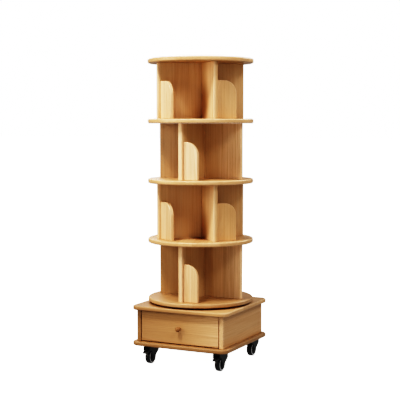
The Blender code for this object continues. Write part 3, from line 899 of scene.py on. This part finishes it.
WHEEL_ROUND = 0.005
WHEEL_RIBS = 6
PEDAL_RIBS = 4
RIB_RADIUS, RIB_ROOT = 0.0007, 0.0006  # of a pedal's ribs


def turned_on_x(name, profile, sides, y, z, x=0.0, flip=False):
    """A turned form whose axis lies along X, its top towards +X unless flipped."""
    form = lathe(name, profile, sides)
    if flip:
        moved(form, Matrix.Rotation(math.pi, 4, "X"))
    return moved(form, shift(x, y, z) @ UPRIGHT_PLANE)


def make_top_plate(label, spot):
    """A mounting plate with its screws, and the swivel's two races under it."""
    half_x, half_y = TOP_PLATE[0] / 2, TOP_PLATE[1] / 2
    high = CASTER_HEIGHT - FIT
    low = high - TOP_PLATE_THICKNESS
    loop = rectangle((-half_x, -half_y), (half_x, half_y), (0.006,) * 4, steps=6)
    plate = prism("plate", loop, TOP_PLATE_THICKNESS, fillet=0.0007, steps=3)
    moved(plate, shift(0, 0, (high + low) / 2))
    r, race = SWIVEL_RADIUS, low - SWIVEL_HEIGHT
    profile = [(0, low), (r - 0.001, low), (r, low - 0.0008), (r, low - 0.0018),
               (r - 0.0012, low - 0.0022), (r - 0.0012, low - 0.0027), (r - 0.0002, low - 0.0031),
               (r - 0.0002, race + 0.0006), (r - 0.0010, race), (0, race)]
    parts = [plate, lathe("race", profile, sides=64)]
    dress(join(f"{label}_plate_pressing", parts), f"{label}_plate", spot)
    heads = []
    for x in (-SCREW_PLACE[0], SCREW_PLACE[0]):
        for y in (-SCREW_PLACE[1], SCREW_PLACE[1]):
            heads.append(moved(lathe("screw", SCREW_HEAD, sides=32), shift(x, y, low)))
    detail(join(f"{label}_screws", heads), "base", SCREW_STEEL, spot, "caster_metal")


def make_fork(label, spot, braked):
    """A moulded fork: crown, two cheeks with raised bosses, and the axle's bolt head and nut."""
    foot = arc(AXLE, CHEEK_FOOT, 195, 345, 16)
    shoulder = CROWN_TOP - CROWN_ROUND
    back = [(CROWN_BACK - 0.0030, BACK_SKIRT - 0.0004), (CROWN_BACK - 0.0008, BACK_SKIRT + 0.0014),
            (CROWN_BACK, BACK_SKIRT + 0.0042),
            *arc((CROWN_BACK - CROWN_ROUND, shoulder), CROWN_ROUND, 0, 90, 5)]
    front = [*arc((CROWN_ROUND - CROWN_FRONT, shoulder), CROWN_ROUND, 90, 180, 5),
             (-CROWN_FRONT, SKIRT + 0.0016), (0.0016 - CROWN_FRONT, SKIRT), (-0.0080, SKIRT),
             (-0.0055, SKIRT - 0.0012), (-0.0042, SKIRT - 0.0040)]
    block = prism("body", back + front + foot, 2 * CHEEK_OUTER, fillet=0.0014, steps=3)
    low, high = (-CHEEK_INNER, -CROWN_LOW), (CHEEK_INNER, CROWN_LOW)
    gap = rectangle(low, high, (0.003, 0.003, 0, 0), steps=4)
    slot = prism("slot", gap, SLOT_LENGTH, fillet=0.0, steps=1)
    parts = [cut(moved(block, UPRIGHT_PLANE), moved(slot, FACING))]
    for x, flip in ((CHEEK_OUTER, False), (-CHEEK_OUTER, True)):
        parts.append(turned_on_x("boss", BOSS, 48, *AXLE, x, flip))
        if braked:
            parts.append(turned_on_x("rivet", RIVET, 32, *PEDAL_PIN, x, flip))
    parts.append(moved(lathe("kingpin", KINGPIN, sides=40), shift(0, 0, CROWN_LOW)))
    dress(join(f"{label}_fork_moulding", parts), f"{label}_fork", spot)
    side = CHEEK_OUTER + BOSS_HEIGHT
    bolt = [turned_on_x("nut", NUT, 6, *AXLE, side),
            turned_on_x("stud", STUD, 32, *AXLE, side - 0.0005),
            turned_on_x("head", BOLT_HEAD, 40, *AXLE, -side, True),
            turned_on_x("axle", AXLE_ROD, 32, *AXLE)]
    detail(join(f"{label}_axle_bolt", bolt), f"{label}_swivel", MATERIALS["caster_metal"], spot,
           "caster_metal")


def make_wheel(label, spot):
    """A wheel with a grooved tread, ribbed dishes and a bead on each side, pale grey as a painted
    highlight.
    """
    half, r = WHEEL_HALF, WHEEL_RADIUS
    shoulder = arc((r - WHEEL_ROUND, half - WHEEL_ROUND), WHEEL_ROUND, 78, 0, 7)
    side = [(0.0041, half), (0.0092, half), (0.0100, half - 0.0007), (0.0102, half - 0.0024),
            (0.0110, half - 0.0030), (0.0212, half - 0.0030), (0.0222, half - 0.0022),
            (0.0226, half - 0.0008), (0.0233, half), *shoulder,
            (r, 0.0044), (r - 0.0007, 0.0040), (r - 0.0007, 0.0032), (r, 0.0028)]
    parts = [lathe("tyre", side + mirrored(side), sides=96, closed=True)]
    rib_loop = rectangle((0.0095, -0.0011), (0.0222, 0.0011), (0.0003,) * 4, steps=2)
    for sign in (1, -1):
        for index in range(WHEEL_RIBS):
            rib = prism("rib", rib_loop, 0.0026, fillet=0.0005, steps=2)
            moved(rib, shift(0, 0, sign * (half - 0.0022)))
            parts.append(moved(rib, Matrix.Rotation(math.pi * index / (WHEEL_RIBS / 2), 4, "Z")))
    place = spot @ shift(0, *AXLE) @ UPRIGHT_PLANE
    dress(join(f"{label}_wheel_moulding", parts), f"{label}_wheel", place)
    # Beads in pale grey: a painted highlight along the wheel's side near its tread
    section = [(0.0228, half - 0.0008), (0.0232, half + 0.0003), (0.0241, half + 0.0009),
               (0.0253, half + 0.0008), (0.0261, half + 0.0002), (0.0265, half - 0.0008)]
    sections = (section, mirrored(section))
    highlight_rings = [lathe("bead", form, sides=96, closed=True) for form in sections]
    detail(join(f"{label}_wheel_beads", highlight_rings), f"{label}_roller", PAINTED_HIGHLIGHT_RING, place, "wheel_plastic")


def make_pedal(label, spot):
    """A brake lever with a ribbed toe in front and a shoe that faces the tread."""
    slope = math.radians(PEDAL_SLOPE)
    along = Vector((-math.cos(slope), -math.sin(slope)))
    across = Vector((along.y, -along.x))
    hub = arc((0, 0), PEDAL_HUB, -PEDAL_SLOPE, 180 - PEDAL_SLOPE, 14)
    toe = bow(along * PEDAL_REACH, TOE_RADIUS, across, along, range(0, 181, 18))
    crotch = tuple((along - across) * PEDAL_HUB)
    to_axle = Vector(AXLE) - Vector(PEDAL_PIN)
    towards = math.atan2(to_axle.y, to_axle.x)
    shoe = []
    for angle in (towards - SHOE_LAG - SHOE_WIDTH, towards - SHOE_LAG):
        shoe.append((SHOE_REACH * math.cos(angle), SHOE_REACH * math.sin(angle)))
    outline = [*hub, *toe, crotch, *shoe]
    parts = [prism("lever", outline, PEDAL_WIDTH, fillet=0.0006, steps=2)]
    for index in range(PEDAL_RIBS):
        middle = along * (0.0105 + 0.0033 * index) + across * (0.0048 - 0.00022 * index)
        loop = bow(middle, RIB_RADIUS, across, along, range(-90, 91, 20))
        loop += [tuple(middle + RIB_RADIUS * along - RIB_ROOT * across),
                 tuple(middle - RIB_RADIUS * along - RIB_ROOT * across)]
        parts.append(prism("rib", loop, PEDAL_WIDTH - 0.004, fillet=0.0002, steps=1))
    pedal = join(f"{label}_brake_moulding", parts)
    dress(pedal, f"{label}_brake_pedal", spot @ shift(0, *PEDAL_PIN) @ UPRIGHT_PLANE)


def make_casters():
    for row, y in (("front", -CASTER_PLACE), ("back", CASTER_PLACE)):
        braked = row == "front"
        for side, x in (("left", -CASTER_PLACE), ("right", CASTER_PLACE)):
            label, spot = f"caster_{row}_{side}", shift(x, y, 0)
            make_top_plate(label, spot)
            make_fork(label, spot, braked)
            make_wheel(label, spot)
            if braked:
                make_pedal(label, spot)


# Stage and light

FLOOR_HALF = 60
FLOOR_GLOW = 1.3
AIM = Vector((0, 0, 0.7))
WHITE = (1, 1, 1)
WARM = (1.0, 0.92, 0.80)
LIGHTS = (  # degrees about the part from its front, distance, height, size, watts, tint
    ("front", -12, 2.18, 4.05, 0.8, 122, WHITE),
    ("key", -46, 2.4, 1.3, 1.3, 27, WARM),
    ("right", 60, 2.8, 2.9, 0.8, 30, WHITE),
    ("side", 90, 2.5, 2.0, 0.8, 6, WHITE),
    ("low", 40, 3.2, 0.6, 1.0, 10, WHITE),
    ("back", 150, 2.6, 2.4, 1.2, 26, WHITE),
    ("back_left", -140, 2.6, 2.2, 1.2, 18, WHITE),
)
FILL_TINT = (1.0, 0.99, 0.97, 1)
FILL_BELOW, FILL_ABOVE = 0.36, 0.20
HORIZON = 0.15  # half the height over which the fill changes


def make_floor():
    """A pale floor that the camera sees as white, with a faint shadow under the part."""
    t = Tree("pale_floor")
    place = t.add("ShaderNodeTexCoord", out=3)
    tone = t.span(t.noise(place, 2.2, 4.0), 0.3, 0.7, 0.60, 0.64)
    material = t.finish(Base_Color=t.grey(tone), Roughness=0.75, Emission_Color=colour(*WHITE),
                        Emission_Strength=FLOOR_GLOW)
    mesh = bpy.data.meshes.new("floor")
    half = FLOOR_HALF
    corners = [(-half, -half, 0), (half, -half, 0), (half, half, 0), (-half, half, 0)]
    mesh.from_pydata(corners, [], [(0, 1, 2, 3)])
    mesh.materials.append(material)
    floor = bpy.data.objects.new("floor", mesh)
    scene.collection.objects.link(floor)
    floor.visible_diffuse = False
    floor.visible_glossy = False


def make_light(name, turn, away, height, size, power, tint):
    """A square panel of light, aimed at the part's middle."""
    light = bpy.data.lights.new(name, "AREA")
    light.size = size
    light.color = tint
    light.energy = power
    obj = bpy.data.objects.new(name, light)
    turn = math.radians(turn)
    obj.location = (away * math.sin(turn), -away * math.cos(turn), height)
    obj.rotation_euler = (AIM - obj.location).to_track_quat("-Z", "Y").to_euler()
    scene.collection.objects.link(obj)


def make_world():
    """White behind the part, and a dim fill on it, stronger from below as off a white floor."""
    world = bpy.data.worlds.new("studio")
    world.use_nodes = True
    scene.world = world
    nodes, links = world.node_tree.nodes, world.node_tree.links
    backdrop = nodes["Background"]
    backdrop.inputs[0].default_value = (*WHITE, 1)
    backdrop.inputs[1].default_value = FILM_WHITE
    fill = nodes.new("ShaderNodeBackground")
    fill.inputs[0].default_value = FILL_TINT
    place = nodes.new("ShaderNodeTexCoord")
    split = nodes.new("ShaderNodeSeparateXYZ")
    level = nodes.new("ShaderNodeMapRange")
    for socket, value in zip(level.inputs[1:5], (-HORIZON, HORIZON, FILL_BELOW, FILL_ABOVE)):
        socket.default_value = value
    links.new(place.outputs["Generated"], split.inputs[0])
    links.new(split.outputs[2], level.inputs[0])
    links.new(level.outputs[0], fill.inputs[1])
    path = nodes.new("ShaderNodeLightPath")
    mix = nodes.new("ShaderNodeMixShader")
    links.new(path.outputs["Is Camera Ray"], mix.inputs[0])
    links.new(fill.outputs[0], mix.inputs[1])
    links.new(backdrop.outputs[0], mix.inputs[2])
    links.new(mix.outputs[0], nodes["World Output"].inputs[0])


make_camera()
make_film()
make_discs()
make_tiers()
make_cabinet()
make_drawer()
make_turntable()
make_casters()
make_floor()
make_world()
for light in LIGHTS:
    make_light(*light)
